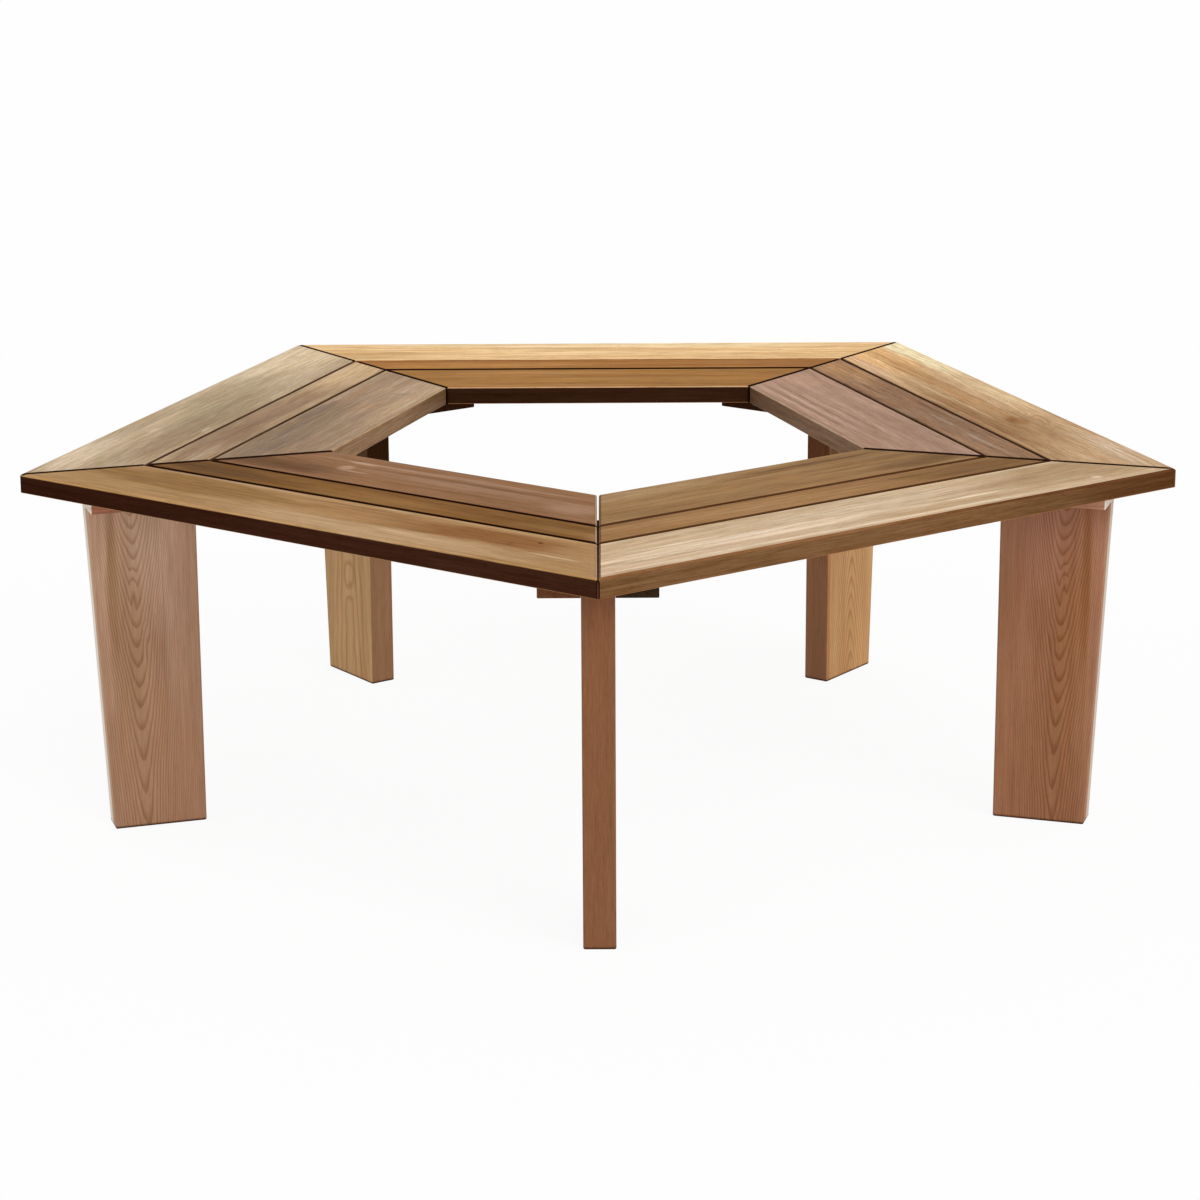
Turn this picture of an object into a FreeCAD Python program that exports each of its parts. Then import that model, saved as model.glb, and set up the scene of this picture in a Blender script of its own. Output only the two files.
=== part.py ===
import FreeCAD, Part
import math
import os

# Five-sided bench that rings a tree trunk: mitred boards on five corner plates and
# five plank legs, screwed together from below so that nothing shows on the seat.
# Millimetres, +Z up. The origin is on the trunk's axis at floor level, and the
# front corner of the seat points along -Y.

# Corners in order around the ring, each followed by the side that starts there
CORNERS = ("front", "left", "rear_left", "rear_right", "right")
SIDES = ("front_left", "left", "rear", "right", "front_right")
FRONT_ANGLE = -90.0

# Seat
SEAT_HEIGHT = 476.0
RIM_APOTHEM = 619.0
OUTER_BOARD_WIDTH = 127.5
MIDDLE_BOARD_WIDTH = 63.5
INNER_BOARD_WIDTH = 127.5
BOARD_THICKNESS = 24.0
BOARD_GAP = 3.5
MITRE_GAP_AT_OPENING = 2.4
MITRE_GAP_AT_RIM = 0.8
RIM_ROUND = 4.5
BOARD_ROUND = 3.0
BOARD_ARRIS = 1.2

# Corner plates
PLATE_WIDTH = 139.0
PLATE_THICKNESS = 19.0
PLATE_RIM_SETBACK = 76.5
PLATE_OPENING_SETBACK = 33.0
PLATE_ARRIS = 1.5

# Legs
LEG_THICKNESS = 39.0
LEG_TOP_WIDTH = 139.5
LEG_FOOT_WIDTH = 119.5
LEG_PLATE_SETBACK = 3.0
LEG_SLOT_CLEARANCE = 0.2
LEG_ARRIS = 2.5

# Screws, countersunk at 90 degrees with a square drive
HEAD_SINK = 0.5
SCREW_CLEARANCE = 0.05
SCREW_TIP_RATIO = 1.6
HOLE_RUN_ON = 1.0
DRIVE_WIDTH = 3.0
DRIVE_DEPTH = 2.0

# Board screws, up through the plate
BOARD_SCREW_THREAD = 4.2
BOARD_SCREW_SHANK = 3.0
BOARD_SCREW_HEAD = 8.2
BOARD_SCREW_BITE = 16.5
BOARD_SCREW_PLATE_EDGE = 20.0
BOARD_SCREW_BOARD_EDGE = 16.0
OUTER_BOARD_SCREW_SPACING = 36.0

# Leg screws, sideways through the plate's arms
LEG_SCREW_THREAD = 5.0
LEG_SCREW_SHANK = 3.6
LEG_SCREW_HEAD = 9.6
LEG_SCREW_BITE = 30.5
LEG_SCREWS = 4
LEG_SCREW_LEG_EDGE = 16.0
LEG_SCREW_CROSSING = 15.0

# Directions around the ring
UP = FreeCAD.Vector(0, 0, 1)
STEP_ANGLE = 360.0 / len(CORNERS)
HALF_STEP = math.radians(STEP_ANGLE / 2)

# Levels
BOARD_UNDERSIDE = SEAT_HEIGHT - BOARD_THICKNESS
PLATE_UNDERSIDE = BOARD_UNDERSIDE - PLATE_THICKNESS

# Rows of boards, as distances from the trunk's axis to the near and far long edges
OUTER_ROW = (RIM_APOTHEM - OUTER_BOARD_WIDTH, RIM_APOTHEM)
MIDDLE_ROW = (OUTER_ROW[0] - BOARD_GAP - MIDDLE_BOARD_WIDTH, OUTER_ROW[0] - BOARD_GAP)
INNER_ROW = (MIDDLE_ROW[0] - BOARD_GAP - INNER_BOARD_WIDTH, MIDDLE_ROW[0] - BOARD_GAP)

# Distances from the trunk's axis along a corner's radial plane
PLATE_START = INNER_ROW[0] / math.cos(HALF_STEP) + PLATE_OPENING_SETBACK
PLATE_END = RIM_APOTHEM / math.cos(HALF_STEP) - PLATE_RIM_SETBACK
LEG_OUTER = PLATE_END - LEG_PLATE_SETBACK
LEG_INNER = LEG_OUTER - LEG_TOP_WIDTH
LEG_FOOT_OUTER = LEG_INNER + LEG_FOOT_WIDTH

# The slot in a plate and the arms either side of it
SLOT_HALF = LEG_THICKNESS / 2 + LEG_SLOT_CLEARANCE
ARM_WIDTH = PLATE_WIDTH / 2 - SLOT_HALF
ARM_CENTRE = SLOT_HALF + ARM_WIDTH / 2


def prism(corners, bottom, height):
    """Upright solid on a level outline of (x, y) corners."""
    points = [FreeCAD.Vector(x, y, bottom) for x, y in corners]
    outline = Part.makePolygon(points + points[:1])
    return Part.Face(outline).extrude(UP * height)


def eased(solid, radius, picks):
    """Rounds the edges that picks chooses."""
    edges = [edge for edge in solid.Edges if picks(edge)]
    return solid.makeFillet(radius, edges)


def turned(shape, angle):
    """Copy of a shape turned about the trunk's axis, in degrees."""
    copy = shape.copy()
    copy.rotate(FreeCAD.Vector(), UP, angle)
    return copy


def corner_angle(index):
    """Direction of a corner's radial plane."""
    return FRONT_ANGLE - index * STEP_ANGLE


def side_angle(index):
    """Direction in which a side faces, halfway between its two corners."""
    return corner_angle(index) - STEP_ANGLE / 2


def half_length(distance):
    """Half the length of a board's long edge that lies this far out, short of the open mitre."""
    outward = (distance - INNER_ROW[0]) / (RIM_APOTHEM - INNER_ROW[0])
    gap = MITRE_GAP_AT_OPENING + outward * (MITRE_GAP_AT_RIM - MITRE_GAP_AT_OPENING)
    return distance * math.tan(HALF_STEP) - gap / 2 / math.cos(HALF_STEP)


def bar(width, far_round):
    """Bar of board thickness along Y, rounded on its top edges and eased on its lower ones."""
    solid = Part.makeBox(width, 2 * RIM_APOTHEM, BOARD_THICKNESS)
    solid.translate(FreeCAD.Vector(0, -RIM_APOTHEM, BOARD_UNDERSIDE))

    def lengthwise(edge, top):
        box = edge.BoundBox
        in_upper_half = box.ZMin > SEAT_HEIGHT - BOARD_THICKNESS / 2
        return box.YLength > RIM_APOTHEM and in_upper_half == top

    def far(edge):
        return edge.BoundBox.XMin > width / 2

    solid = eased(solid, far_round, lambda edge: lengthwise(edge, True) and far(edge))
    solid = eased(solid, BOARD_ROUND, lambda edge: lengthwise(edge, True) and not far(edge))
    return eased(solid, BOARD_ARRIS, lambda edge: lengthwise(edge, False))


def board(row, far_round=BOARD_ROUND):
    """One mitred board of the side that faces +X."""
    near, far = row
    near_half = half_length(near)
    far_half = half_length(far)
    outline = [(near, -near_half), (far, -far_half), (far, far_half), (near, near_half)]
    plan = prism(outline, BOARD_UNDERSIDE, BOARD_THICKNESS)

    def upright(edge, at):
        box = edge.BoundBox
        return box.ZLength > BOARD_THICKNESS / 2 and abs(box.XMin - at) < BOARD_ROUND

    plan = eased(plan, BOARD_ROUND, lambda edge: upright(edge, near))
    plan = eased(plan, BOARD_ARRIS, lambda edge: upright(edge, far))

    length = bar(far - near, far_round)
    length.translate(FreeCAD.Vector(near, 0, 0))

    # A bar that ends at the mitre, wide enough to reach past the board's other end
    reach = 2 * RIM_APOTHEM
    mitre_angle = math.degrees(math.atan2(far_half - near_half, far - near))
    end = bar(reach, BOARD_ROUND)
    end.translate(FreeCAD.Vector(-reach, 0, 0))
    end = turned(end, 90 + mitre_angle)
    end.translate(FreeCAD.Vector(near, near_half, 0))
    other_end = end.mirror(FreeCAD.Vector(), FreeCAD.Vector(0, 1, 0))
    return plan.common(length).common(end).common(other_end)


def leg():
    """Plank leg under the corner at +X, standing on edge in the radial plane."""
    profile = [
        (LEG_INNER, 0),
        (LEG_FOOT_OUTER, 0),
        (LEG_OUTER, BOARD_UNDERSIDE),
        (LEG_INNER, BOARD_UNDERSIDE),
    ]
    points = [FreeCAD.Vector(x, -LEG_THICKNESS / 2, z) for x, z in profile]
    outline = Part.makePolygon(points + points[:1])
    plank = Part.Face(outline).extrude(FreeCAD.Vector(0, LEG_THICKNESS, 0))
    return eased(plank, LEG_ARRIS, lambda edge: True)


def plate():
    """Corner plate at +X, with a slot open at its outer end that takes the leg."""
    half = PLATE_WIDTH / 2
    slot_start = LEG_INNER - LEG_SLOT_CLEARANCE
    outline = [
        (PLATE_START, -half),
        (PLATE_END, -half),
        (PLATE_END, -SLOT_HALF),
        (slot_start, -SLOT_HALF),
        (slot_start, SLOT_HALF),
        (PLATE_END, SLOT_HALF),
        (PLATE_END, half),
        (PLATE_START, half),
    ]
    solid = prism(outline, PLATE_UNDERSIDE, PLATE_THICKNESS)

    def outside(edge):
        box = edge.BoundBox
        beside_leg = max(abs(box.YMin), abs(box.YMax)) < SLOT_HALF + PLATE_ARRIS
        in_slot = beside_leg and box.XMin > slot_start - PLATE_ARRIS
        on_top = box.ZMin > BOARD_UNDERSIDE - PLATE_ARRIS
        return not (in_slot or on_top)

    return eased(solid, PLATE_ARRIS, outside)


def screw(thread, shank, head, length, smooth):
    """Wood screw pointing up from a flat head at the origin, with a square drive."""
    thread_r = thread / 2
    shank_r = shank / 2
    head_r = head / 2
    tip = thread * SCREW_TIP_RATIO
    profile = [
        (0, 0),
        (head_r, 0),
        (shank_r, head_r - shank_r),
        (shank_r, smooth),
        (thread_r, smooth + thread_r - shank_r),
        (thread_r, length - tip),
        (0, length),
    ]
    body = revolved(profile)
    drive = Part.makeBox(DRIVE_WIDTH, DRIVE_WIDTH, DRIVE_DEPTH)
    drive.translate(FreeCAD.Vector(-DRIVE_WIDTH / 2, -DRIVE_WIDTH / 2, 0))
    return body.cut(drive)


def screw_hole(thread, head, length):
    """Countersunk hole for a screw whose head sits just below the surface."""
    hole_r = thread / 2 + SCREW_CLEARANCE
    head_r = head / 2
    profile = [
        (0, -HEAD_SINK - HOLE_RUN_ON),
        (head_r, -HEAD_SINK - HOLE_RUN_ON),
        (head_r, 0),
        (hole_r, head_r - hole_r),
        (hole_r, length + HOLE_RUN_ON),
        (0, length + HOLE_RUN_ON),
    ]
    return revolved(profile)


def revolved(profile):
    """Solid of revolution about Z from (radius, height) points."""
    points = [FreeCAD.Vector(radius, 0, z) for radius, z in profile]
    outline = Part.makePolygon(points + points[:1])
    return Part.Face(outline).revolve(FreeCAD.Vector(), UP, 360)


def on_arm(distance):
    """Radial position, on the line of screws, of a point that far out from the axis square to a side."""
    return (distance - ARM_CENTRE * math.sin(HALF_STEP)) / math.cos(HALF_STEP)


def board_screw_positions():
    """Radial positions of the board screws on either arm, from the opening outwards."""
    inner_far = on_arm(INNER_ROW[1] - BOARD_SCREW_BOARD_EDGE)
    middle = on_arm(sum(MIDDLE_ROW) / 2)
    outer_far = PLATE_END - BOARD_SCREW_PLATE_EDGE
    return [
        PLATE_START + BOARD_SCREW_PLATE_EDGE,
        inner_far,
        middle,
        outer_far - OUTER_BOARD_SCREW_SPACING,
        outer_far,
    ]


def leg_screw_positions():
    """Radial positions of the leg screws, between the board screws that they must not cross."""
    middle, outer_near = board_screw_positions()[2:4]
    first = max(LEG_INNER + LEG_SCREW_LEG_EDGE, middle + LEG_SCREW_CROSSING)
    last = outer_near - LEG_SCREW_CROSSING
    pitch = (last - first) / (LEG_SCREWS - 1)
    return [first + index * pitch for index in range(LEG_SCREWS)]


def placed_board_screws(shape):
    """Copies of an upward screw or hole at every board screw of the corner at +X."""
    copies = []
    for side in (-1, 1):
        for radius in board_screw_positions():
            copy = shape.copy()
            copy.translate(FreeCAD.Vector(radius, side * ARM_CENTRE, PLATE_UNDERSIDE + HEAD_SINK))
            copies.append(copy)
    return copies


def placed_leg_screws(shape):
    """Copies of a screw or hole through the arms at +X, driven from alternate sides."""
    copies = []
    level = PLATE_UNDERSIDE + PLATE_THICKNESS / 2
    for index, radius in enumerate(leg_screw_positions()):
        side = -1 if index % 2 == 0 else 1
        copy = shape.copy()
        copy.rotate(FreeCAD.Vector(), FreeCAD.Vector(1, 0, 0), side * 90)
        copy.translate(FreeCAD.Vector(radius, side * (PLATE_WIDTH / 2 - HEAD_SINK), level))
        copies.append(copy)
    return copies


def save(name, shape):
    """Writes one node's STEP file."""
    if not shape.isValid():
        raise ValueError(name + " is not a valid solid")
    shape.exportStep("parts/" + name + ".step")


def main():
    os.makedirs("parts", exist_ok=True)

    board_smooth = PLATE_THICKNESS - HEAD_SINK
    board_screw_length = board_smooth + BOARD_SCREW_BITE
    leg_smooth = ARM_WIDTH + LEG_SLOT_CLEARANCE - HEAD_SINK
    leg_screw_length = leg_smooth + LEG_SCREW_BITE

    board_hole = screw_hole(BOARD_SCREW_THREAD, BOARD_SCREW_HEAD, board_screw_length)
    leg_hole = screw_hole(LEG_SCREW_THREAD, LEG_SCREW_HEAD, leg_screw_length)
    board_screw = screw(
        BOARD_SCREW_THREAD, BOARD_SCREW_SHANK, BOARD_SCREW_HEAD, board_screw_length, board_smooth
    )
    leg_screw = screw(LEG_SCREW_THREAD, LEG_SCREW_SHANK, LEG_SCREW_HEAD, leg_screw_length, leg_smooth)

    board_holes = placed_board_screws(board_hole)
    leg_holes = placed_leg_screws(leg_hole)
    corner_parts = {
        "leg": leg().cut(leg_holes),
        "corner_plate": plate().cut(board_holes + leg_holes),
        "board_screws": Part.makeCompound(placed_board_screws(board_screw)),
        "leg_screws": Part.makeCompound(placed_leg_screws(leg_screw)),
    }
    for index, corner in enumerate(CORNERS):
        for part_name, shape in corner_parts.items():
            save(corner + "_" + part_name, turned(shape, corner_angle(index)))

    # A side's two corners lie half a step either way from the direction it faces
    holes = [turned(hole, end * STEP_ANGLE / 2) for end in (-1, 1) for hole in board_holes]
    side_boards = {
        "inner_board": board(INNER_ROW).cut(holes),
        "middle_board": board(MIDDLE_ROW).cut(holes),
        "outer_board": board(OUTER_ROW, far_round=RIM_ROUND).cut(holes),
    }
    for index, side in enumerate(SIDES):
        for part_name, shape in side_boards.items():
            save(side + "_" + part_name, turned(shape, side_angle(index)))


main()
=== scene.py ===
import math

import bpy
from mathutils import Matrix, Vector


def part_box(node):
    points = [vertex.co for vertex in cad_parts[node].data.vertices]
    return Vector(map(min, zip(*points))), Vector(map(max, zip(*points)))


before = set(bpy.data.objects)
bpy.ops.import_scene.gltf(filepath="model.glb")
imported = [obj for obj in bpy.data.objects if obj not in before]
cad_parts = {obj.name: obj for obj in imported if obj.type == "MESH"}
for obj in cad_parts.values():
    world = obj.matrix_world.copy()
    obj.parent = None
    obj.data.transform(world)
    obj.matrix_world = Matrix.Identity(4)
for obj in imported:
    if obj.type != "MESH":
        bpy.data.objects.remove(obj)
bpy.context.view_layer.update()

# Camera, fitted to the photograph: its frame is PHOTO_SIDE pixels square
PHOTO_SIDE = 1200
FOCAL_PIXELS = 3407.6
SENSOR_MM = 36.0
CAMERA_PLACE = (0.0048, -4.4128, 1.4406)
CAMERA_PITCH = 0.2647
CAMERA_PAN = -0.0007
CAMERA_ROLL = -0.0050
CAMERA_REACH = 200.0

# Light
WORLD_STRENGTH = 0.68
FLOOR_SIZE = 60.0
FLOOR_COLOUR = (0.94, 0.94, 0.94, 1.0)
FLOOR_WHITE_SHARE = 0.92

# The bench's layout, read from the frame
CORNERS = ("front", "left", "rear_left", "rear_right", "right")
SIDES = ("front_left", "left", "rear", "right", "front_right")
ROWS = ("inner", "middle", "outer")
STEP = 2 * math.pi / len(CORNERS)
UP = Vector((0, 0, 1))
SEAT_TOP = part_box("rear_outer_board")[1].z
ROW_START = {row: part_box("rear_" + row + "_board")[0].y for row in ROWS}
LEG_START = -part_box("front_leg")[1].y
PLATE_START = -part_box("front_corner_plate")[1].y
MM = 1000.0

# Places of the colour sockets of Blender's mix node
MIX_FIRST, MIX_SECOND, MIX_RESULT = 6, 7, 2


def screen(red, green, blue):
    """Scene colour of an 8-bit colour as a screen shows it."""
    def linear(value):
        share = value / 255
        return share / 12.92 if share <= 0.04045 else ((share + 0.055) / 1.055) ** 2.4
    return (linear(red), linear(green), linear(blue), 1.0)


def direction(index, quarter_turns=0):
    """Unit vector from the trunk's axis towards a corner, or at a half index a side."""
    angle = -math.pi / 2 - index * STEP + quarter_turns * math.pi / 2
    return Vector((math.cos(angle), math.sin(angle), 0))


class Graph:
    """Writes a material's node tree as formulas."""

    def __init__(self, name):
        self.material = bpy.data.materials.new(name)
        self.material.use_nodes = True
        self.tree = self.material.node_tree
        self.tree.nodes.clear()

    def put(self, value, socket):
        """Links a socket to another node, or sets it to a number or colour."""
        if isinstance(value, bpy.types.NodeSocket):
            self.tree.links.new(value, socket)
        else:
            socket.default_value = value

    def maths(self, operation, *values):
        node = self.tree.nodes.new("ShaderNodeMath")
        node.operation = operation
        for value, socket in zip(values, node.inputs):
            self.put(value, socket)
        return node.outputs[0]

    def add(self, first, *others):
        for other in others:
            first = self.maths("ADD", first, other)
        return first

    def times(self, first, second):
        return self.maths("MULTIPLY", first, second)

    def length(self, first, second):
        """Length of the diagonal over two distances."""
        return self.maths("SQRT", self.add(self.times(first, first), self.times(second, second)))

    def vector(self, operation, *values):
        node = self.tree.nodes.new("ShaderNodeVectorMath")
        node.operation = operation
        for value, socket in zip(values, node.inputs):
            self.put(value, socket)
        return node.outputs["Value" if operation == "DOT_PRODUCT" else "Vector"]

    def combine(self, x, y, z):
        node = self.tree.nodes.new("ShaderNodeCombineXYZ")
        for value, socket in zip((x, y, z), node.inputs):
            self.put(value, socket)
        return node.outputs[0]

    def ramp(self, value, low, high, out_low=0.0, out_high=1.0):
        """Smooth change from out_low to out_high as value goes from low to high."""
        node = self.tree.nodes.new("ShaderNodeMapRange")
        node.interpolation_type = "SMOOTHSTEP"
        for given, socket in zip((value, low, high, out_low, out_high), node.inputs):
            self.put(given, socket)
        return node.outputs[0]

    def mix(self, share, first, second, blend="MIX"):
        node = self.tree.nodes.new("ShaderNodeMix")
        node.data_type = "RGBA"
        node.blend_type = blend
        self.put(share, node.inputs[0])
        self.put(first, node.inputs[MIX_FIRST])
        self.put(second, node.inputs[MIX_SECOND])
        return node.outputs[MIX_RESULT]

    def brightness(self, colour):
        node = self.tree.nodes.new("ShaderNodeRGBToBW")
        self.put(colour, node.inputs[0])
        return node.outputs[0]

    def bump(self, height, strength, distance):
        node = self.tree.nodes.new("ShaderNodeBump")
        self.put(strength, node.inputs["Strength"])
        self.put(distance, node.inputs["Distance"])
        self.put(height, node.inputs["Height"])
        return node.outputs[0]

    def surface(self, **sockets):
        """The finished material, with the shader's sockets named with underscores."""
        shader = self.tree.nodes.new("ShaderNodeBsdfPrincipled")
        for name, value in sockets.items():
            self.put(value, shader.inputs[name.replace("_", " ")])
        output = self.tree.nodes.new("ShaderNodeOutputMaterial")
        self.tree.links.new(shader.outputs[0], output.inputs["Surface"])
        return self.material


class Plank(Graph):
    """Graph of one plank, with positions in millimetres along, across and through it."""

    def __init__(self, name, axes, seed):
        super().__init__(name)
        self.seed = seed
        self.origin, self.along_axis, self.across_axis, self.through_axis = axes
        place = self.tree.nodes.new("ShaderNodeTexCoord")
        offset = self.vector("SUBTRACT", place.outputs["Object"], self.origin)
        self.along, self.across, self.through = (
            self.times(self.vector("DOT_PRODUCT", offset, axis), MM)
            for axis in (self.along_axis, self.across_axis, self.through_axis)
        )
        self.normal = place.outputs["Normal"]

    def grain(self, length, width, shift, detail=2.0, roughness=0.5):
        """Noise from 0 to 1 whose patches are about that long and wide."""
        parts = (
            self.maths("DIVIDE", self.along, length),
            self.maths("DIVIDE", self.across, width),
            self.maths("DIVIDE", self.through, width),
        )
        node = self.tree.nodes.new("ShaderNodeTexNoise")
        start = (self.seed + shift, 2 * self.seed - shift, shift - self.seed)
        self.put(self.vector("ADD", self.combine(*parts), start), node.inputs["Vector"])
        self.put(1.0, node.inputs["Scale"])
        self.put(detail, node.inputs["Detail"])
        self.put(roughness, node.inputs["Roughness"])
        return node.outputs[0]

    def swing(self, size, *grain, **options):
        """Noise about zero, that far from one extreme to the other."""
        return self.times(self.maths("SUBTRACT", self.grain(*grain, **options), 0.5), size)

    def spot(self, along, across, half_length, half_width, soft=0.85, ragged=0.6):
        """1 in the middle of a long patch, fading to 0 over the soft share of it."""
        waver = self.swing(half_width * 1.2, 150, 40, 3.0)
        off_along = self.maths("DIVIDE", self.maths("SUBTRACT", self.along, along), half_length)
        off_across = self.add(self.maths("SUBTRACT", self.across, across), waver)
        apart = self.length(off_along, self.maths("DIVIDE", off_across, half_width))
        apart = self.add(apart, self.swing(ragged, 60, 5, 7.0, detail=4.0, roughness=0.65))
        return self.ramp(apart, 1.15 - soft, 1.15, 1.0, 0.0)

    def paint(self, colour, marks):
        """Lays marks of (tone, strength, along, across, half length, half width), and a softness if given."""
        for tone, strength, *where in marks:
            colour = self.mix(self.times(self.spot(*where), strength), colour, tone)
        return colour

    def varied(self, tone, place):
        """A tone as it is, or the change from a first to a second tone between two places."""
        if isinstance(tone[0], tuple):
            first, second, low, high = tone
            return self.mix(self.ramp(place, low, high), first, second)
        return tone

    def edged(self, colour, axis, rounded, flat, start=0.10):
        """Tones for the rounded edge and the flat side that look along an axis, many of them painted
        highlights and shade.
        """
        if rounded:
            turned = self.facing(axis, start, start + 0.25)
            colour = self.mix(turned, colour, self.varied(rounded, self.along))
        return self.mix(self.facing(axis, 0.80, 0.94), colour, self.varied(flat, self.along))

    def facing(self, axis, low=0.62, high=0.9):
        """1 on the faces that look along an axis."""
        return self.ramp(self.vector("DOT_PRODUCT", self.normal, axis), low, high)

    def to_mitre(self, way):
        """Millimetres from the mitre at one end of a board, square to it."""
        outward = self.add(self.across, self.origin.dot(self.across_axis) * MM)
        sideways = self.times(self.along, way * math.cos(STEP / 2))
        return self.maths("SUBTRACT", self.times(outward, math.sin(STEP / 2)), sideways)

    def late_wood(self, count):
        """Dark part of each growth ring, from a running count of rings."""
        part = self.maths("FRACT", count)
        return self.times(self.ramp(part, 0.40, 0.88), self.ramp(part, 0.90, 1.0, 1.0, 0.0))

    def shaded(self, colour, amount):
        """Colour with the light and dark of fibres, flecks, streaks and pores, and a slow drift of hue."""
        self.fine = self.grain(34, 1.1, 2.0, roughness=0.6)
        self.pores = self.ramp(self.grain(8, 1.2, 6.0, detail=1.0), 0.60, 0.76)
        shade = self.add(
            1.0,
            self.times(self.maths("SUBTRACT", self.fine, 0.5), amount * 2.6),
            self.swing(amount * 2.1, 40, 2.4, 14.0, detail=3.0, roughness=0.7),
            self.swing(amount * 1.5, 200, 2.6, 8.0, detail=3.0, roughness=0.6),
            self.swing(amount * 2.4, 130, 6.5, 4.0, detail=4.0, roughness=0.65),
            self.times(self.pores, -amount * 0.8),
        )
        warm = self.combine(shade, self.maths("POWER", shade, 1.25), self.maths("POWER", shade, 1.7))
        drift = self.swing(0.16, 150, 12, 16.0, detail=3.0)
        tint = self.combine(self.add(1.0, drift), 1.0, self.maths("SUBTRACT", 1.0, drift))
        return self.mix(1.0, self.mix(1.0, colour, warm, "MULTIPLY"), tint, "MULTIPLY")

    def finish(self, colour, late, rough=0.6):
        """Oiled, satin surface with the grain standing slightly proud, duller where it is darkest."""
        roughness = self.add(rough, self.swing(0.22, 60, 22, 11.0, detail=3.0), self.times(late, -0.05))
        relief = self.add(self.times(self.fine, 0.5), self.times(self.pores, -0.5), self.times(late, 0.35))
        return self.surface(
            Base_Color=colour,
            Roughness=roughness,
            Specular_IOR_Level=self.ramp(self.brightness(colour), 0.0, 0.22, 0.0, 0.13),
            Normal=self.bump(relief, 0.3, 0.0004),
        )


# Near-black tone of the boards' ends
END = screen(40, 22, 14)

# How strongly fibres and streaks show in the boards, where a board has no value of its own, and the legs
BOARD_GRAIN = 0.30
LEG_GRAIN = 0.13


def side_axes(index, row):
    """Directions of a side's board: along the grain, outwards across it, and up."""
    outward = direction(index + 0.5)
    return outward * ROW_START[row] + UP * SEAT_TOP, direction(index + 0.5, 1), outward, UP


def leg_axes(index):
    """Directions of a leg: up its grain, outwards across its wide face, and through it."""
    outward = direction(index)
    return outward * LEG_START, UP, outward, direction(index, 1)


def plate_axes(index):
    """Directions of a corner plate: its grain runs outwards from the trunk."""
    outward = direction(index)
    return outward * PLATE_START + UP * SEAT_TOP, outward, direction(index, 1), UP


def seat_wood(
    name, axes, seed, light, dark, inward, outward, ends=(END, END), end_edge_light_and_shade=None, dark_joint=None,
    lower_edge_highlight=None, marks=(), swirls=(), figure=0.35, grain=BOARD_GRAIN,
):
    """Board wood: long patches of two tones, marks and faint rings, with tones for its sides and ends,
    several of them painted highlights and shade.
    """
    plank = Plank(name, axes, seed)
    patches = plank.ramp(plank.grain(420, 22, 1.0, detail=3.0, roughness=0.55), 0.3, 0.7)
    colour = plank.paint(plank.mix(patches, light, dark), marks)
    count = plank.add(plank.maths("DIVIDE", plank.across, 7.0), plank.swing(7.0, 420, 60, 5.0))
    for rings, *where in swirls:
        count = plank.add(count, plank.times(plank.spot(*where, ragged=0.15), rings))
    late = plank.times(plank.late_wood(count), plank.ramp(plank.grain(200, 26, 9.0), 0.35, 0.65))
    deep = plank.mix(1.0, colour, screen(214, 190, 168), "MULTIPLY")
    colour = plank.mix(plank.times(late, figure), colour, deep)
    colour = plank.edged(colour, -plank.across_axis, *inward)
    colour = plank.edged(colour, plank.across_axis, *outward)
    # Painted highlight along the lower edge, where it catches the light
    if lower_edge_highlight:
        lower_highlight_mask = plank.maths("SUBTRACT", plank.facing(-UP, 0.20, 0.50), plank.facing(-UP, 0.95, 0.99))
        colour = plank.mix(lower_highlight_mask, colour, lower_edge_highlight)
    if dark_joint:
        way, reach = dark_joint
        close = plank.ramp(plank.to_mitre(way), reach - 0.6, reach + 0.6, 1.0, 0.0)
        not_outward = plank.ramp(plank.facing(plank.across_axis, 0.50, 0.90), 0.0, 1.0, 1.0, 0.0)
        colour = plank.mix(plank.times(close, not_outward), colour, END)
    for axis, end in zip((-plank.along_axis, plank.along_axis), ends):
        colour = plank.mix(plank.facing(axis, 0.04, 0.22), colour, plank.varied(end, plank.across))
    # Painted light and shade on the upper edge of one end: lighter on the front left, darker on the front
    # right
    if end_edge_light_and_shade:
        way, tone = end_edge_light_and_shade
        edge = plank.times(plank.facing(plank.along_axis * way, 0.10, 0.35), plank.facing(UP, 0.30, 0.50))
        colour = plank.mix(edge, colour, tone)
    return plank.finish(plank.shaded(colour, grain), late)


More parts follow.
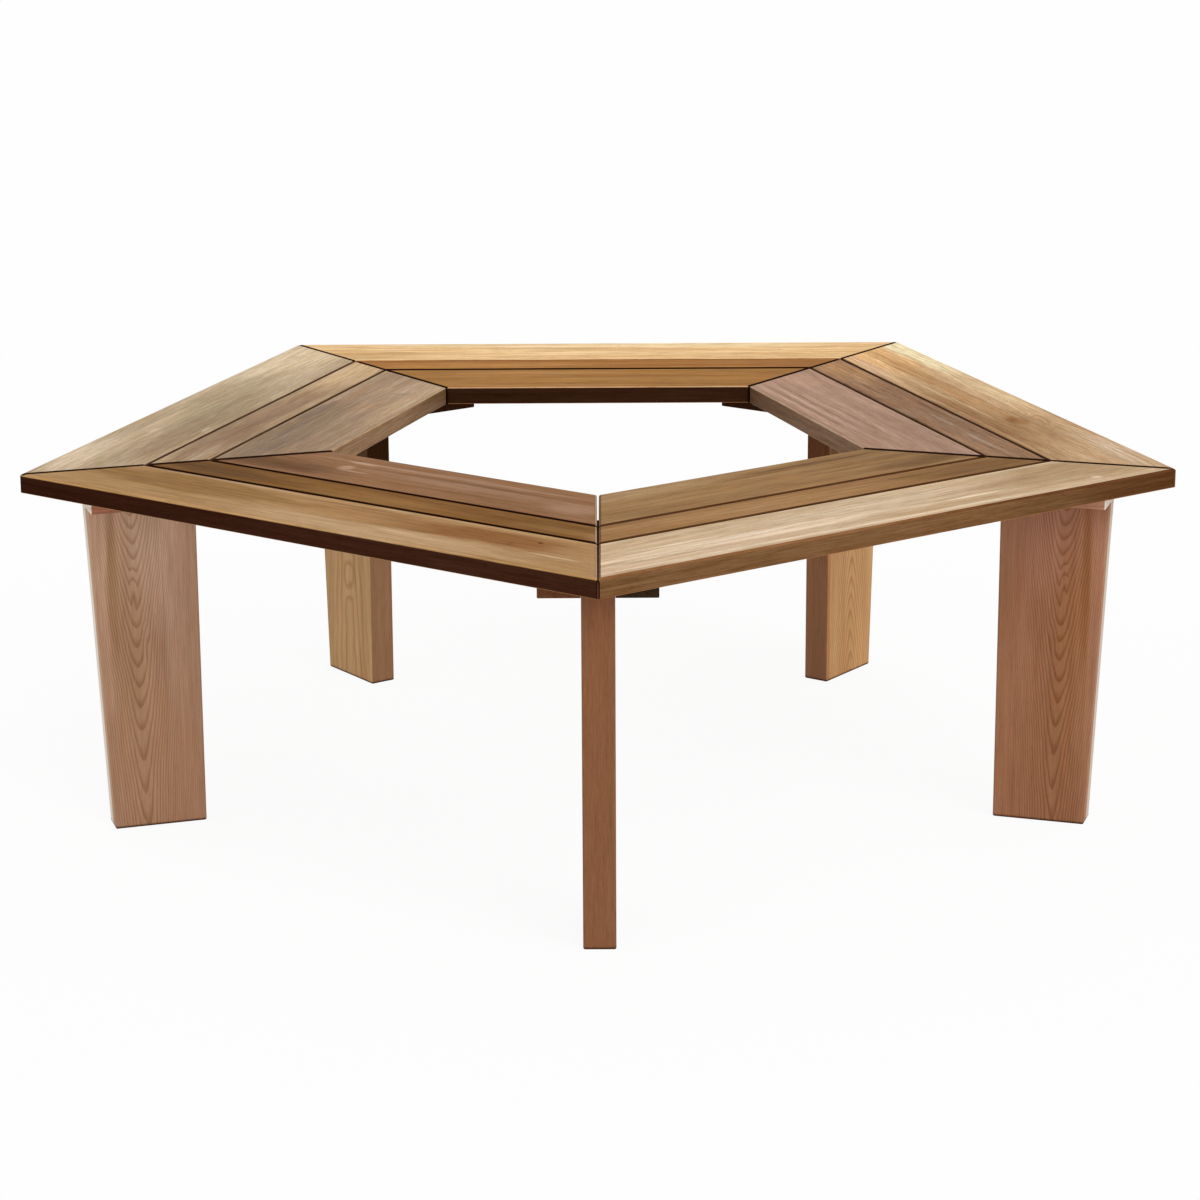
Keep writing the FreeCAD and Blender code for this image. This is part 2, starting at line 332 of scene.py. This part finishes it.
def leg_wood(name, axes, seed, light, dark, ring_tone, figure, inner, outer, centre, marks=(), swirls=()):
    """Leg wood: nested arches of growth rings down the wide faces, straight grain beside them, and painted
    shade round the foot.
    """
    plank = Plank(name, axes, seed)
    patches = plank.ramp(plank.grain(300, 26, 1.0, detail=3.0), 0.3, 0.7)
    colour = plank.paint(plank.mix(patches, light, dark), marks)
    start, rate, easing, sideways, bluntness = figure
    climb = plank.maths("ABSOLUTE", plank.maths("SUBTRACT", plank.along, start))
    count = plank.times(climb, plank.maths("SUBTRACT", rate, plank.times(climb, easing)))
    foot_centre, lean = centre
    aside = plank.maths("SUBTRACT", plank.across, plank.add(foot_centre, plank.times(plank.along, lean)))
    aside = plank.add(aside, plank.swing(9.0, 120, 60, 12.0))
    count = plank.add(
        count,
        plank.length(bluntness, plank.times(aside, sideways)),
        plank.swing(0.9, 70, 26, 5.0),
    )
    for rings, *where in swirls:
        count = plank.add(count, plank.times(plank.spot(*where, ragged=0.2), rings))
    fading = plank.ramp(plank.maths("ABSOLUTE", aside), 24, 56, 0.62, 0.26)
    late = plank.times(plank.late_wood(count), fading)
    colour = plank.mix(late, colour, plank.mix(1.0, colour, ring_tone, "MULTIPLY"))
    colour = plank.mix(plank.facing(-plank.across_axis), colour, plank.varied(inner, plank.along))
    # The outer edge's tone; on the left and right legs part of it is a pale painted highlight
    outer_face = plank.facing(plank.across_axis, 0.94, 0.99)
    colour = plank.mix(outer_face, colour, plank.varied(outer, plank.through))
    # Painted shade round the foot, where the leg meets the floor
    colour = plank.mix(plank.ramp(plank.along, 1.0, 5.0, 1.0, 0.0), colour, FOOT_SHADE)
    return plank.finish(plank.shaded(colour, LEG_GRAIN), late)


# Each of the next four tables gives the tone of the rounded edge and of the flat side, many of them
# painted shade and painted highlights. Where a tone changes along a side, it is written as the first
# tone, the second one, and the two places in millimetres between which it changes.

# Painted shade in the gap between the inner and middle boards of a side, with how far round the edge the dark
# starts
SEAM_SHADES = {
    "front_left": (screen(38, 17, 9), screen(30, 13, 7), 0.10),
    "left": (screen(94, 67, 45), screen(84, 58, 38), 0.52),
    "rear": (screen(30, 15, 7), screen(26, 13, 6), 0.10),
    "right": (screen(96, 66, 45), screen(66, 42, 27), 0.42),
    "front_right": (screen(84, 52, 28), screen(70, 42, 24), 0.10),
}

# Lighter painted shade in the gap between the middle and outer boards, where that seam differs
OUTER_SEAM_SHADES = {"rear": (screen(150, 98, 50), screen(112, 70, 36), 0.30)}

# Where a side meets the opening: painted highlights on the rounded edges, and the flat sides' darker tones,
# on the rear deepened with painted shade
OPENING_LIGHT_AND_SHADE = {
    "front_left": (screen(160, 122, 92), screen(96, 66, 46)),
    "left": (screen(178, 146, 112), (screen(104, 76, 50), screen(140, 108, 76), -240, 0)),
    "rear": (screen(206, 164, 124), (screen(52, 29, 17), screen(46, 26, 14), -300, 300), 0.35),
    "right": (screen(184, 150, 126), (screen(124, 94, 70), screen(92, 64, 44), -60, 280)),
    "front_right": (screen(176, 142, 108), screen(110, 80, 54)),
}

# Along the rim: the front left's flat side is its own dark tone deepened with painted shade, and the front
# right's rounded edge is painted shade
RIM_TONES_AND_SHADE = {
    "front_left": (None, (screen(49, 24, 14), screen(60, 33, 21), -450, 420)),
    "left": (None, screen(120, 92, 66)),
    "rear": (None, screen(120, 84, 52)),
    "right": (None, screen(116, 82, 56)),
    "front_right": (
        (screen(136, 90, 54), screen(100, 60, 32), -100, 240),
        (screen(114, 80, 48), screen(86, 52, 25), 100, 460),
    ),
}

# Lower edges, where they catch the light
LOWER_EDGE_HIGHLIGHTS = {"rear_inner": screen(150, 102, 56), "front_right_outer": screen(160, 104, 60)}

# Upper edges of the ends that meet at the front corner, with the end's direction along its board: a painted
# highlight on the front left end and painted shade on the front right end
END_EDGE_LIGHT_AND_SHADE = {"front_left": (1, screen(184, 148, 110)), "front_right": (-1, screen(126, 90, 60))}

# The tip of the rim at the right corner, where the ends catch the light
RIGHT_TIP_HIGHLIGHT = screen(126, 86, 56)

# Marks are tone, strength, place along and across, half length and half width, and a softness if given
BOARDS = {
    "front_left_outer": {
        "light": screen(182, 142, 92), "dark": screen(168, 126, 75),
        "marks": (
            (screen(196, 160, 118), 0.75, 110, 102, 240, 30, 0.6),
            (screen(172, 134, 80), 0.55, -300, 92, 150, 34),
            (screen(152, 102, 46), 0.75, 190, 44, 300, 29, 0.5),
            (screen(140, 89, 34), 0.85, 240, 44, 120, 36, 0.7),
            (screen(180, 136, 84), 0.60, 30, 52, 90, 24, 0.8),
            (screen(184, 142, 94), 0.60, 385, 48, 70, 40, 0.8),
            (screen(146, 105, 46), 0.85, -240, 44, 210, 36, 0.5),
            (screen(138, 96, 48), 0.50, -260, 50, 120, 12),
            (screen(184, 152, 116), 0.60, -200, 6, 160, 6),
            (screen(190, 150, 104), 0.50, 200, 7, 160, 5),
            (screen(138, 92, 46), 0.60, 20, 19, 120, 4),
            (screen(214, 178, 134), 0.80, 131, 88, 46, 5),
            (screen(216, 182, 138), 0.85, 350, 78, 46, 3.5),
            (screen(208, 170, 124), 0.60, 60, 8, 40, 4),
            (screen(120, 74, 34), 0.60, 150, 70, 30, 5),
            (screen(122, 76, 34), 0.60, 272, 56, 8, 9),
            (screen(134, 100, 52), 0.50, -240, 98, 60, 2.5),
            (screen(134, 100, 52), 0.50, -165, 80, 26, 2.5),
            (screen(46, 28, 18), 0.90, 300, 34, 5, 3),
        ),
    },
    "left_outer": {
        "light": screen(199, 174, 140), "dark": screen(183, 158, 126),
        "marks": (
            (screen(238, 216, 182), 0.75, -330, 108, 210, 24, 0.8),
            (screen(230, 204, 166), 0.85, -370, 80, 180, 60, 0.8),
            (screen(160, 138, 104), 0.85, 40, 34, 220, 46, 0.8),
            (screen(176, 156, 120), 0.55, -60, 74, 200, 34, 0.8),
            (screen(226, 202, 170), 0.80, 330, 104, 150, 26, 0.8),
            (screen(160, 132, 100), 0.75, 190, 26, 180, 26),
            (screen(174, 148, 116), 0.50, -60, 70, 90, 7),
            (screen(170, 144, 112), 0.50, -90, 32, 80, 5),
            (screen(226, 208, 182), 0.70, 165, 76, 22, 4),
            (screen(220, 202, 176), 0.60, 140, 11, 20, 4),
        ),
    },
    "rear_outer": {
        "light": screen(247, 208, 150), "dark": screen(234, 190, 132), "figure": 0.7, "grain": 0.36,
        "marks": (
            (screen(212, 156, 90), 0.55, -40, 88, 80, 6),
            (screen(212, 156, 90), 0.55, -120, 106, 60, 8),
            (screen(212, 156, 90), 0.50, 170, 96, 60, 6),
            (screen(214, 160, 96), 0.50, 60, 62, 50, 5),
            (screen(212, 156, 92), 0.50, 240, 76, 60, 7),
            (screen(214, 162, 98), 0.50, -280, 106, 50, 8),
            (screen(214, 164, 104), 0.50, -250, 40, 70, 6),
            (screen(208, 164, 106), 0.75, 350, 50, 110, 36, 0.8),
            (screen(255, 226, 178), 0.70, -20, 110, 400, 22, 0.7),
            (screen(252, 214, 156), 0.50, 190, 62, 90, 16, 0.8),
        ),
        "swirls": ((3.0, 100, 80, 60, 20), (-3.0, 220, 90, 50, 18), (3.0, -60, 95, 50, 16)),
    },
    "right_outer": {
        "light": screen(205, 168, 125), "dark": screen(193, 154, 110), "figure": 0.7, "grain": 0.36,
        "ends": ((END, RIGHT_TIP_HIGHLIGHT, 118, 122), END),
        "marks": (
            (screen(162, 120, 74), 0.85, -100, 24, 280, 36, 0.8),
            (screen(164, 122, 78), 0.60, -150, 62, 130, 30, 0.8),
            (screen(230, 198, 152), 0.75, 170, 106, 330, 24, 0.6),
            (screen(240, 190, 128), 0.95, 390, 48, 210, 64, 0.8),
            (screen(255, 236, 190), 0.95, 370, 112, 200, 30, 0.7),
            (screen(218, 190, 158), 0.75, -310, 100, 150, 26),
            (screen(190, 143, 88), 0.70, 150, 58, 290, 17, 0.6),
            (screen(170, 122, 68), 0.50, 240, 47, 150, 3.5),
            (screen(174, 126, 72), 0.50, 60, 70, 120, 3),
            (screen(206, 146, 80), 0.50, 300, 62, 120, 6),
            (screen(158, 108, 54), 0.85, -122, 60, 30, 15, 0.6),
            (screen(138, 90, 42), 0.60, -116, 55, 14, 9),
            (screen(154, 108, 62), 0.60, -60, 18, 230, 10, 0.7),
            (screen(150, 104, 58), 0.50, -200, 14, 80, 5),
            (screen(226, 186, 148), 0.70, 290, 16, 110, 13),
            (screen(228, 198, 158), 0.60, -10, 36, 90, 2.5),
            (screen(224, 190, 146), 0.50, 100, 31, 120, 2.5),
            (screen(110, 80, 58), 0.60, -40, 7, 6, 4),
        ),
        "swirls": ((5.0, -125, 62, 80, 30),),
    },
    "front_right_outer": {
        "light": screen(213, 184, 147), "dark": screen(200, 168, 129),
        "ends": (END, (END, RIGHT_TIP_HIGHLIGHT, 118, 122)),
        "marks": (
            (screen(209, 181, 144), 0.70, -100, 26, 330, 24, 0.5),
            (screen(218, 192, 160), 0.65, 10, 48, 240, 40, 0.8),
            (screen(176, 142, 102), 0.80, 330, 48, 180, 50, 0.8),
            (screen(224, 196, 166), 0.60, -260, 104, 260, 18, 0.8),
            (screen(194, 160, 120), 0.60, 130, 98, 180, 8),
            (screen(184, 148, 106), 0.75, 370, 102, 90, 18),
            (screen(236, 210, 178), 0.85, -215, 75, 220, 15, 0.3),
            (screen(238, 214, 182), 0.70, -300, 54, 100, 4, 0.6),
            (screen(236, 212, 180), 0.75, -40, 114, 370, 5, 0.5),
            (screen(243, 222, 192), 0.75, 150, 81, 55, 4.5, 0.7),
            (screen(234, 206, 174), 0.60, 60, 82, 50, 5),
            (screen(238, 216, 188), 0.60, 338, 100, 10, 10),
        ),
    },
    "front_left_middle": {
        "light": screen(138, 93, 32), "dark": screen(123, 80, 24),
        "marks": (
            (screen(100, 68, 32), 0.80, -260, 30, 150, 34),
            (screen(152, 107, 46), 0.65, 0, 44, 120, 34, 0.8),
            (screen(150, 107, 50), 0.50, 280, 40, 90, 20),
            (screen(112, 74, 32), 0.50, 240, 25, 80, 4),
            (screen(112, 74, 32), 0.50, 60, 14, 120, 3),
            (screen(172, 132, 90), 0.50, 350, 40, 30, 30),
        ),
    },
    "left_middle": {
        "light": screen(179, 149, 112), "dark": screen(161, 129, 97),
        "marks": (
            (screen(216, 182, 138), 0.85, -280, 34, 170, 44, 0.8),
            (screen(146, 116, 86), 0.75, 140, 34, 210, 44, 0.8),
            (screen(138, 104, 76), 0.60, 120, 34, 110, 9),
            (screen(146, 112, 82), 0.60, 280, 44, 80, 4),
            (screen(184, 164, 136), 0.50, 280, 22, 80, 12),
            (screen(154, 122, 94), 0.50, -60, 16, 140, 5),
            (screen(158, 126, 96), 0.50, -80, 40, 150, 4),
        ),
    },
    "rear_middle": {
        "light": screen(179, 120, 45), "dark": screen(163, 104, 35),
        "marks": (
            (screen(148, 94, 40), 0.50, -160, 40, 80, 5),
            (screen(194, 136, 62), 0.50, 170, 26, 200, 26, 0.8),
            (screen(150, 96, 38), 0.50, -300, 30, 110, 30),
            # Painted shade along the gap to the inner board
            (screen(34, 18, 8), 0.90, 0, 2.0, 1500, 2.2, 0.4),
        ),
    },
    "right_middle": {
        "light": screen(157, 119, 86), "dark": screen(141, 103, 70), "grain": 0.42,
        "marks": (
            (screen(186, 138, 88), 0.75, 270, 34, 140, 36, 0.8),
            (screen(138, 104, 76), 0.55, -120, 34, 140, 20, 0.8),
            (screen(182, 158, 140), 0.60, -220, 30, 60, 3.5),
            (screen(182, 158, 140), 0.60, -90, 34, 60, 3.5),
            (screen(182, 158, 140), 0.50, -20, 6, 40, 3.5),
            (screen(182, 156, 136), 0.50, 200, 28, 40, 3.5),
            (screen(120, 86, 58), 0.60, -160, 44, 80, 4),
            (screen(120, 86, 58), 0.60, 150, 22, 40, 4),
            (screen(122, 88, 60), 0.60, 0, 50, 60, 4),
        ),
    },
    "front_right_middle": {
        "light": screen(161, 117, 66), "dark": screen(147, 104, 54),
        "marks": (
            (screen(176, 132, 80), 0.55, -110, 40, 260, 34, 0.8),
            (screen(124, 87, 44), 0.85, 270, 34, 160, 36, 0.8),
            (screen(106, 72, 36), 0.65, 150, 24, 50, 3.5),
            (screen(176, 133, 86), 0.40, -150, 30, 150, 14),
        ),
    },
    "front_left_inner": {
        "light": screen(156, 111, 71), "dark": screen(140, 95, 57),
        "marks": (
            (screen(108, 72, 40), 0.90, -240, 92, 140, 40, 0.7),
            (screen(134, 92, 54), 0.60, 150, 106, 110, 20, 0.8),
            (screen(148, 103, 60), 0.50, 60, 104, 240, 18),
            (screen(166, 129, 102), 0.50, 60, 62, 190, 16),
            (screen(176, 142, 116), 0.60, 20, 30, 250, 6),
            (screen(124, 87, 58), 0.65, 30, 46, 260, 4.5),
            (screen(122, 84, 52), 0.50, 120, 92, 120, 5),
            (screen(134, 97, 66), 0.40, -100, 10, 150, 8),
            (screen(178, 140, 112), 0.55, 235, 80, 50, 30),
            (screen(206, 170, 140), 0.70, -130, 33, 28, 6),
            (screen(202, 166, 136), 0.55, -135, 62, 14, 14),
            (screen(198, 160, 128), 0.50, -110, 74, 30, 4),
        ),
    },
    "left_inner": {
        "light": screen(174, 145, 114), "dark": screen(156, 127, 98),
        "marks": (
            (screen(136, 112, 86), 0.75, 130, 96, 260, 44, 0.8),
            (screen(176, 134, 94), 0.55, -150, 106, 90, 8),
            (screen(204, 172, 134), 0.60, -120, 16, 200, 16),
            (screen(192, 160, 126), 0.50, -200, 50, 80, 40),
            (screen(188, 146, 104), 0.40, -60, 50, 60, 12),
            (screen(128, 104, 86), 0.75, -20, 112, 75, 9, 0.6),
            (screen(134, 110, 92), 0.70, 90, 99, 75, 10),
            (screen(136, 112, 94), 0.70, 190, 84, 80, 16),
            (screen(140, 116, 96), 0.55, 150, 64, 60, 6),
            (screen(136, 110, 90), 0.60, -10, 74, 60, 4),
            (screen(204, 178, 150), 0.50, -170, 46, 30, 6),
            (screen(148, 120, 96), 0.50, -150, 45, 12, 12),
        ),
    },
    "rear_inner": {
        "light": screen(171, 118, 46), "dark": screen(155, 104, 37),
        "marks": (
            (screen(188, 134, 66), 0.60, 90, 98, 150, 24, 0.8),
            (screen(150, 100, 40), 0.50, -260, 100, 90, 24),
            # Painted shade along the gap to the middle board
            (screen(34, 18, 8), 0.90, 0, 125.5, 1500, 2.2, 0.4),
            (screen(180, 134, 76), 0.50, 40, 14, 180, 6),
            (screen(118, 76, 32), 0.60, -5, 36, 20, 2.5),
            (screen(118, 76, 32), 0.60, 40, 22, 14, 2.5),
            (screen(118, 76, 32), 0.60, -100, 22, 30, 2.5),
            (screen(124, 82, 36), 0.60, -60, 78, 60, 2.5),
        ),
    },
    "right_inner": {
        "light": screen(183, 146, 122), "dark": screen(169, 131, 107),
        "marks": (
            (screen(162, 128, 106), 0.65, -130, 100, 220, 26, 0.8),
            (screen(198, 153, 126), 0.50, 230, 80, 70, 40),
            (screen(140, 102, 80), 0.70, 60, 42, 230, 3.5),
            (screen(140, 102, 80), 0.70, 60, 23, 200, 4),
            (screen(146, 108, 84), 0.60, 30, 6, 200, 3),
            (screen(204, 168, 146), 0.65, 80, 32, 200, 3),
            (screen(202, 166, 144), 0.65, 60, 52, 160, 3),
            (screen(202, 166, 144), 0.55, 20, 15, 190, 3),
            (screen(154, 118, 96), 0.60, -60, 60, 160, 4),
            (screen(156, 120, 98), 0.55, -80, 84, 180, 4),
        ),
    },
    "front_right_inner": {
        "light": screen(162, 122, 72), "dark": screen(148, 108, 60),
        "marks": (
            (screen(184, 148, 104), 0.65, -150, 22, 150, 26, 0.8),
            (screen(130, 95, 52), 0.60, 180, 24, 140, 30, 0.8),
            (screen(176, 139, 92), 0.40, -80, 10, 150, 10),
            (screen(116, 82, 44), 0.80, 240, 98, 120, 30),
            (screen(134, 100, 58), 0.50, 240, 56, 60, 12),
            (screen(134, 101, 60), 0.50, 150, 78, 110, 5),
            (screen(130, 97, 57), 0.50, -200, 106, 70, 4),
            (screen(178, 122, 72), 0.45, 40, 68, 50, 7),
            (screen(178, 122, 72), 0.45, -70, 70, 40, 5),
            (screen(116, 84, 48), 0.60, 0, 35, 70, 5),
            (screen(106, 74, 40), 0.75, 110, 25, 130, 5),
        ),
    },
}

# Growth rings of the legs: height where they start, rings per mm of climb and how that eases,
# rings per mm across at the sides, and how blunt the arches are
ARCHES_DOWN = (460.0, 0.058, 0.000043, 0.36, 6.4)
ARCHES_UP = (-60.0, 0.034, 0.0, 0.19, 1.7)
LONG_LINES = (-200.0, 0.005, 0.0, 0.09, 1.0)

# Painted highlight on the pale ends of two corner plates, and painted shade round the legs' feet
CREAM_HIGHLIGHT = screen(236, 222, 208)
FOOT_SHADE = screen(66, 36, 20)

# Tones of the wide faces, the inner edge and the outer edge, and where the arches have their middle:
# its place across the foot and how far it leans outwards per mm of height
LEGS = {
    "front": {
        "light": screen(140, 96, 68), "dark": screen(126, 84, 58), "ring_tone": screen(196, 172, 150),
        "figure": ARCHES_DOWN, "centre": (77.0, 0.017),
        "inner": screen(126, 84, 58), "outer": screen(128, 85, 57),
    },
    "left": {
        "light": screen(176, 138, 111), "dark": screen(161, 122, 95), "ring_tone": screen(202, 182, 160),
        "figure": ARCHES_DOWN, "centre": (77.0, 0.017),
        # Part of its outer edge is a near-white painted highlight
        "inner": screen(150, 112, 86), "outer": (screen(230, 216, 201), screen(182, 146, 118), 1, 4),
        "marks": (
            # Painted light at the top of the leg, against the seat's shade
            (screen(208, 172, 146), 0.85, 430, 70, 180, 90),
            (screen(158, 118, 88), 0.50, 60, 60, 150, 80),
            (screen(152, 116, 80), 0.70, 330, 111, 170, 8),
            (screen(158, 120, 86), 0.50, 240, 92, 200, 26),
            (screen(202, 166, 140), 0.50, 350, 126, 120, 7),
        ),
        "swirls": ((0.7, 322, 84, 34, 5), (0.5, 250, 72, 26, 6)),
    },
    "rear_left": {
        "light": screen(196, 157, 111), "dark": screen(183, 144, 99), "ring_tone": screen(216, 192, 164),
        "figure": LONG_LINES, "centre": (58.0, 0.0),
        # Painted shade under the seat: the inner edge darkens above 190 mm, and the mark is dark high on the
        # wide face
        "inner": (screen(146, 108, 78), screen(60, 37, 20), 190, 270), "outer": screen(150, 112, 82),
        "marks": ((screen(60, 37, 20), 0.90, 350, 12, 110, 30),),
        "swirls": ((1.3, 152, 58, 36, 16),),
    },
    "rear_right": {
        "light": screen(208, 164, 114), "dark": screen(196, 150, 100), "ring_tone": screen(212, 182, 150),
        "figure": ARCHES_UP, "centre": (66.0, 0.0),
        # Painted shade under the seat: the inner edge darkens above 170 mm
        "inner": (screen(139, 98, 70), screen(104, 66, 41), 170, 260), "outer": screen(150, 110, 78),
        "marks": (
            (screen(184, 116, 70), 0.70, 120, 4, 220, 5),
            # Painted shade under the seat, high on the wide face
            (screen(104, 66, 40), 0.90, 350, 12, 110, 30),
        ),
    },
    "right": {
        "light": screen(162, 116, 87), "dark": screen(148, 102, 73), "ring_tone": screen(198, 172, 146),
        "figure": ARCHES_DOWN, "centre": (77.0, 0.017),
        # Part of its outer edge is a pale painted highlight
        "inner": screen(134, 92, 66), "outer": (screen(166, 118, 92), screen(206, 188, 170), -4, -1),
        "marks": (
            # Painted light at the top of the leg, against the seat's shade
            (screen(174, 126, 102), 0.65, 430, 70, 150, 90),
            (screen(142, 96, 66), 0.65, 50, 60, 190, 90),
            (screen(140, 88, 48), 0.75, 330, 113, 170, 8),
            (screen(144, 94, 58), 0.60, 250, 94, 210, 26),
            (screen(178, 126, 100), 0.50, 350, 128, 130, 7),
        ),
        "swirls": ((0.7, 322, 84, 34, 5), (0.5, 250, 72, 26, 6)),
    },
}

# Corner plates: their own tones, their sides, and their ends at the opening and at the rim
# Painted shade: the rear plates sit under the seat and take dark tones all over
SHADED_PLATE = {
    "light": screen(96, 64, 42), "dark": screen(80, 52, 32),
    "inward": (None, screen(70, 42, 26)), "outward": (None, screen(70, 42, 26)),
    "ends": (screen(56, 32, 18), screen(70, 44, 28)),
}
PINK_PLATE = {
    "light": screen(176, 132, 106), "dark": screen(162, 118, 92),
    "inward": (None, screen(178, 130, 104)), "outward": (None, screen(168, 112, 88)),
    # Its rim end is the pale painted highlight
    "ends": (END, CREAM_HIGHLIGHT),
}
# The front plate's outward side and one half of its rim end are darkened with painted shade
BROWN_PLATE = {
    "light": screen(112, 76, 50), "dark": screen(96, 62, 40),
    "inward": (None, screen(90, 58, 38)), "outward": (None, screen(60, 42, 30)),
    "ends": (END, (screen(104, 66, 42), screen(56, 42, 30), -20, 20)),
}
PLATES = {
    "front": BROWN_PLATE,
    "left": PINK_PLATE,
    "rear_left": SHADED_PLATE,
    "rear_right": SHADED_PLATE,
    "right": PINK_PLATE,
}

# The end of each side at the joint that shows darkest, and how far the dark reaches from the mitre
DARK_JOINTS = {"front_left": -1, "left": 1, "right": -1, "front_right": 1}
JOINT_REACH = {"inner": 5.6, "middle": 5.4, "outer": 4.6}


def dress(node, material):
    """Gives a node of the frame one material all over."""
    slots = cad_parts[node].data.materials
    slots.clear()
    slots.append(material)


def dress_side(index, side):
    """Gives a side's three boards their wood."""
    inner_seam, outer_seam = SEAM_SHADES[side], OUTER_SEAM_SHADES.get(side, SEAM_SHADES[side])
    borders = {
        "inner": (OPENING_LIGHT_AND_SHADE[side], inner_seam),
        "middle": (inner_seam, outer_seam),
        "outer": (outer_seam, RIM_TONES_AND_SHADE[side]),
    }
    for row, (inward, outward) in borders.items():
        name = side + "_" + row
        dark_joint = (DARK_JOINTS[side], JOINT_REACH[row]) if side in DARK_JOINTS else None
        material = seat_wood(
            name, side_axes(index, row), index * 3.7 + len(row), inward=inward, outward=outward,
            end_edge_light_and_shade=END_EDGE_LIGHT_AND_SHADE.get(side), dark_joint=dark_joint, lower_edge_highlight=LOWER_EDGE_HIGHLIGHTS.get(name),
            **BOARDS[name],
        )
        dress(name + "_board", material)


def screw_steel():
    """Plain stainless steel of the screws."""
    return Graph("screw_steel").surface(Base_Color=(0.6, 0.59, 0.57, 1), Metallic=1.0, Roughness=0.35)


def dress_bench():
    """Gives every piece its material: boards side by side, then each corner's leg, plate and screws."""
    for index, side in enumerate(SIDES):
        dress_side(index, side)
    steel = screw_steel()
    for index, corner in enumerate(CORNERS):
        dress(corner + "_leg", leg_wood(corner + "_leg", leg_axes(index), index * 5.1, **LEGS[corner]))
        plate = corner + "_corner_plate"
        dress(plate, seat_wood(plate, plate_axes(index), index * 2.3, **PLATES[corner]))
        dress(corner + "_board_screws", steel)
        dress(corner + "_leg_screws", steel)


def make_camera():
    """Camera at the place and angle of the one that took the photograph."""
    data = bpy.data.cameras.new("camera")
    data.sensor_width = SENSOR_MM
    data.lens = SENSOR_MM * FOCAL_PIXELS / PHOTO_SIDE
    data.clip_end = CAMERA_REACH
    camera = bpy.data.objects.new("camera", data)
    forward = Vector((
        math.sin(CAMERA_PAN) * math.cos(CAMERA_PITCH),
        math.cos(CAMERA_PAN) * math.cos(CAMERA_PITCH),
        -math.sin(CAMERA_PITCH),
    ))
    right = Vector((math.cos(CAMERA_PAN), -math.sin(CAMERA_PAN), 0))
    up = right.cross(forward)
    rolled_right = math.cos(CAMERA_ROLL) * right + math.sin(CAMERA_ROLL) * up
    rolled_up = math.cos(CAMERA_ROLL) * up - math.sin(CAMERA_ROLL) * right
    turn = Matrix((rolled_right, rolled_up, -forward)).transposed()
    camera.matrix_world = Matrix.Translation(CAMERA_PLACE) @ turn.to_4x4()
    bpy.context.scene.collection.objects.link(camera)
    bpy.context.scene.camera = camera


def sun(name, azimuth, elevation, strength, spread):
    """Soft directional lamp that shines from that azimuth (0 is the camera's side) and elevation."""
    data = bpy.data.lights.new(name, "SUN")
    data.energy = strength
    data.angle = math.radians(spread)
    lamp = bpy.data.objects.new(name, data)
    a, e = math.radians(azimuth), math.radians(elevation)
    towards = Vector((math.sin(a) * math.cos(e), -math.cos(a) * math.cos(e), math.sin(e)))
    lamp.rotation_euler = towards.to_track_quat("Z", "Y").to_euler()
    bpy.context.scene.collection.objects.link(lamp)


def make_world():
    """Soft light from all around, which the camera sees as pure white."""
    world = bpy.data.worlds.new("studio")
    bpy.context.scene.world = world
    world.use_nodes = True
    tree = world.node_tree
    tree.nodes.clear()
    rays = tree.nodes.new("ShaderNodeLightPath")
    strength = tree.nodes.new("ShaderNodeMapRange")
    tree.links.new(rays.outputs["Is Camera Ray"], strength.inputs["Value"])
    strength.inputs["To Min"].default_value = WORLD_STRENGTH
    strength.inputs["To Max"].default_value = 1.0
    background = tree.nodes.new("ShaderNodeBackground")
    background.inputs["Color"].default_value = (1, 1, 1, 1)
    tree.links.new(strength.outputs["Result"], background.inputs["Strength"])
    output = tree.nodes.new("ShaderNodeOutputWorld")
    tree.links.new(background.outputs[0], output.inputs["Surface"])


def make_floor():
    """Pale floor that keeps the bench's shadow and shows almost white."""
    half = FLOOR_SIZE / 2
    mesh = bpy.data.meshes.new("floor")
    corners = [(-half, -half, 0), (half, -half, 0), (half, half, 0), (-half, half, 0)]
    mesh.from_pydata(corners, [], [(0, 1, 2, 3)])
    floor = bpy.data.objects.new("floor", mesh)
    bpy.context.scene.collection.objects.link(floor)
    material = bpy.data.materials.new("floor")
    material.use_nodes = True
    tree = material.node_tree
    tree.nodes.clear()
    matt = tree.nodes.new("ShaderNodeBsdfDiffuse")
    matt.inputs["Color"].default_value = FLOOR_COLOUR
    white = tree.nodes.new("ShaderNodeEmission")
    rays = tree.nodes.new("ShaderNodeLightPath")
    share = tree.nodes.new("ShaderNodeMath")
    share.operation = "MULTIPLY"
    share.inputs[1].default_value = FLOOR_WHITE_SHARE
    tree.links.new(rays.outputs["Is Camera Ray"], share.inputs[0])
    mixed = tree.nodes.new("ShaderNodeMixShader")
    tree.links.new(share.outputs[0], mixed.inputs[0])
    tree.links.new(matt.outputs[0], mixed.inputs[1])
    tree.links.new(white.outputs[0], mixed.inputs[2])
    output = tree.nodes.new("ShaderNodeOutputMaterial")
    tree.links.new(mixed.outputs[0], output.inputs["Surface"])
    mesh.materials.append(material)


dress_bench()
make_camera()
make_world()
make_floor()
sun("key", azimuth=35.0, elevation=40.0, strength=1.1, spread=40.0)
sun("fill", azimuth=-20.0, elevation=12.0, strength=0.6, spread=60.0)
bpy.context.scene.view_settings.view_transform = "Standard"
